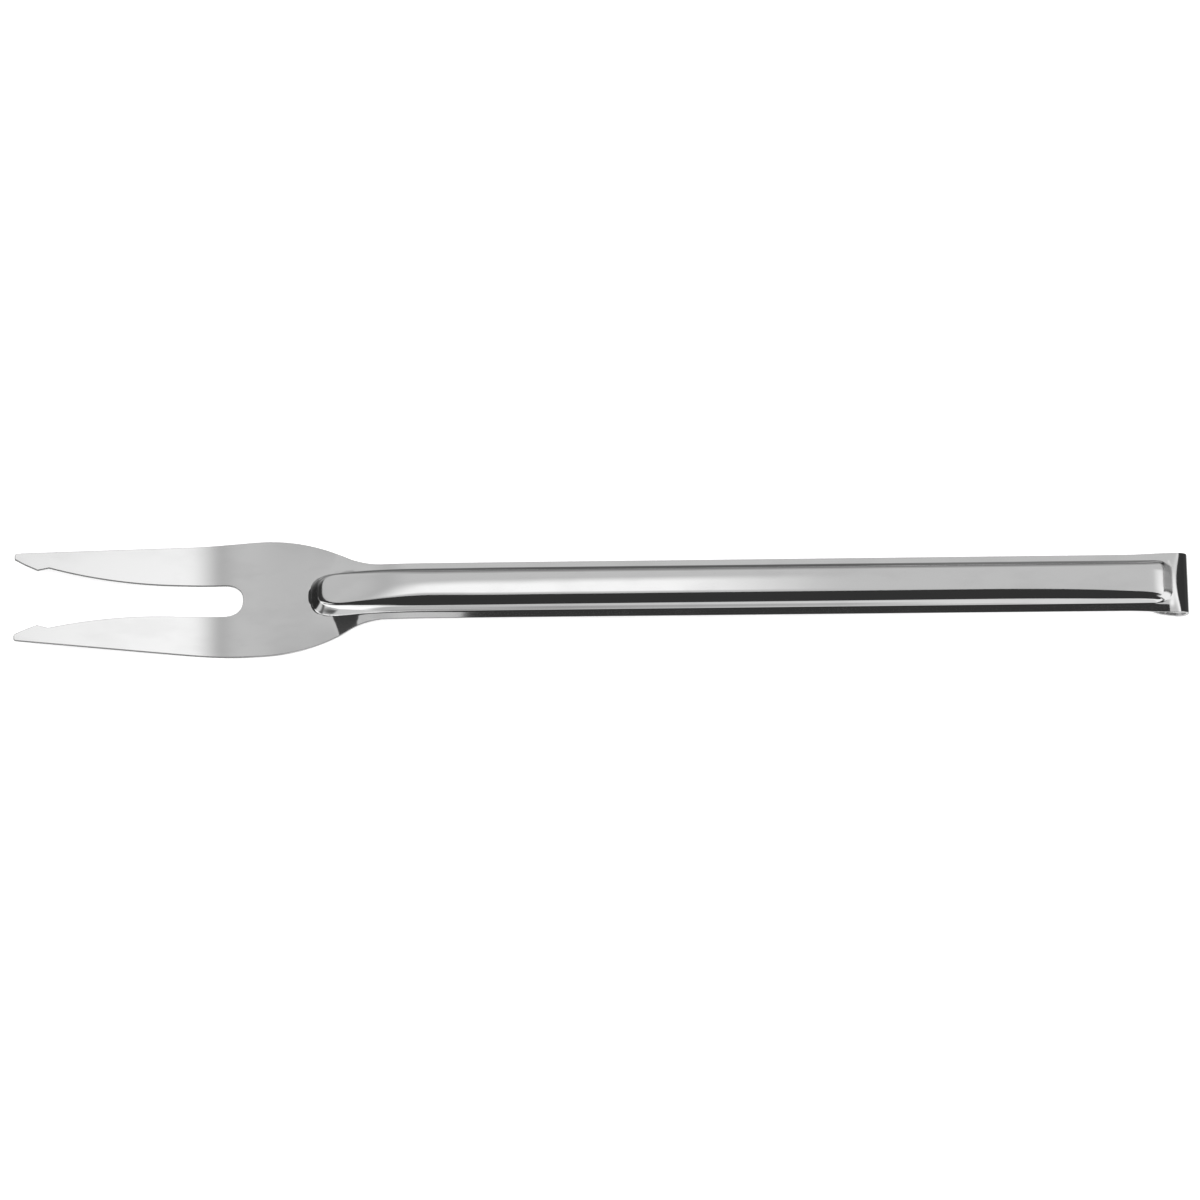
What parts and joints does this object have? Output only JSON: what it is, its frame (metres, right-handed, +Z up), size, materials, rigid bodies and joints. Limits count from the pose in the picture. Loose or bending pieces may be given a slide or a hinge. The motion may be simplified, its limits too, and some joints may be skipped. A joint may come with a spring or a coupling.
{
  "type": "carving fork",
  "caption": "Long carving fork pressed from one polished steel sheet, with barbed tines, a ribbed flanged handle and a folded hanging hook.",
  "frame": {"origin": "under the middle of the fork's box, on the surface that it lies on", "axes": "+X along the handle from the tine tips to the hook, +Y across the handle, +Z up, out of the rib's crest"},
  "size_m": [0.33, 0.034, 0.0126],
  "materials": {
    "steel": "mirror polished stainless steel"
  },
  "bodies": {
    "root": {"carving_fork": "steel"}
  },
  "joints": []
}
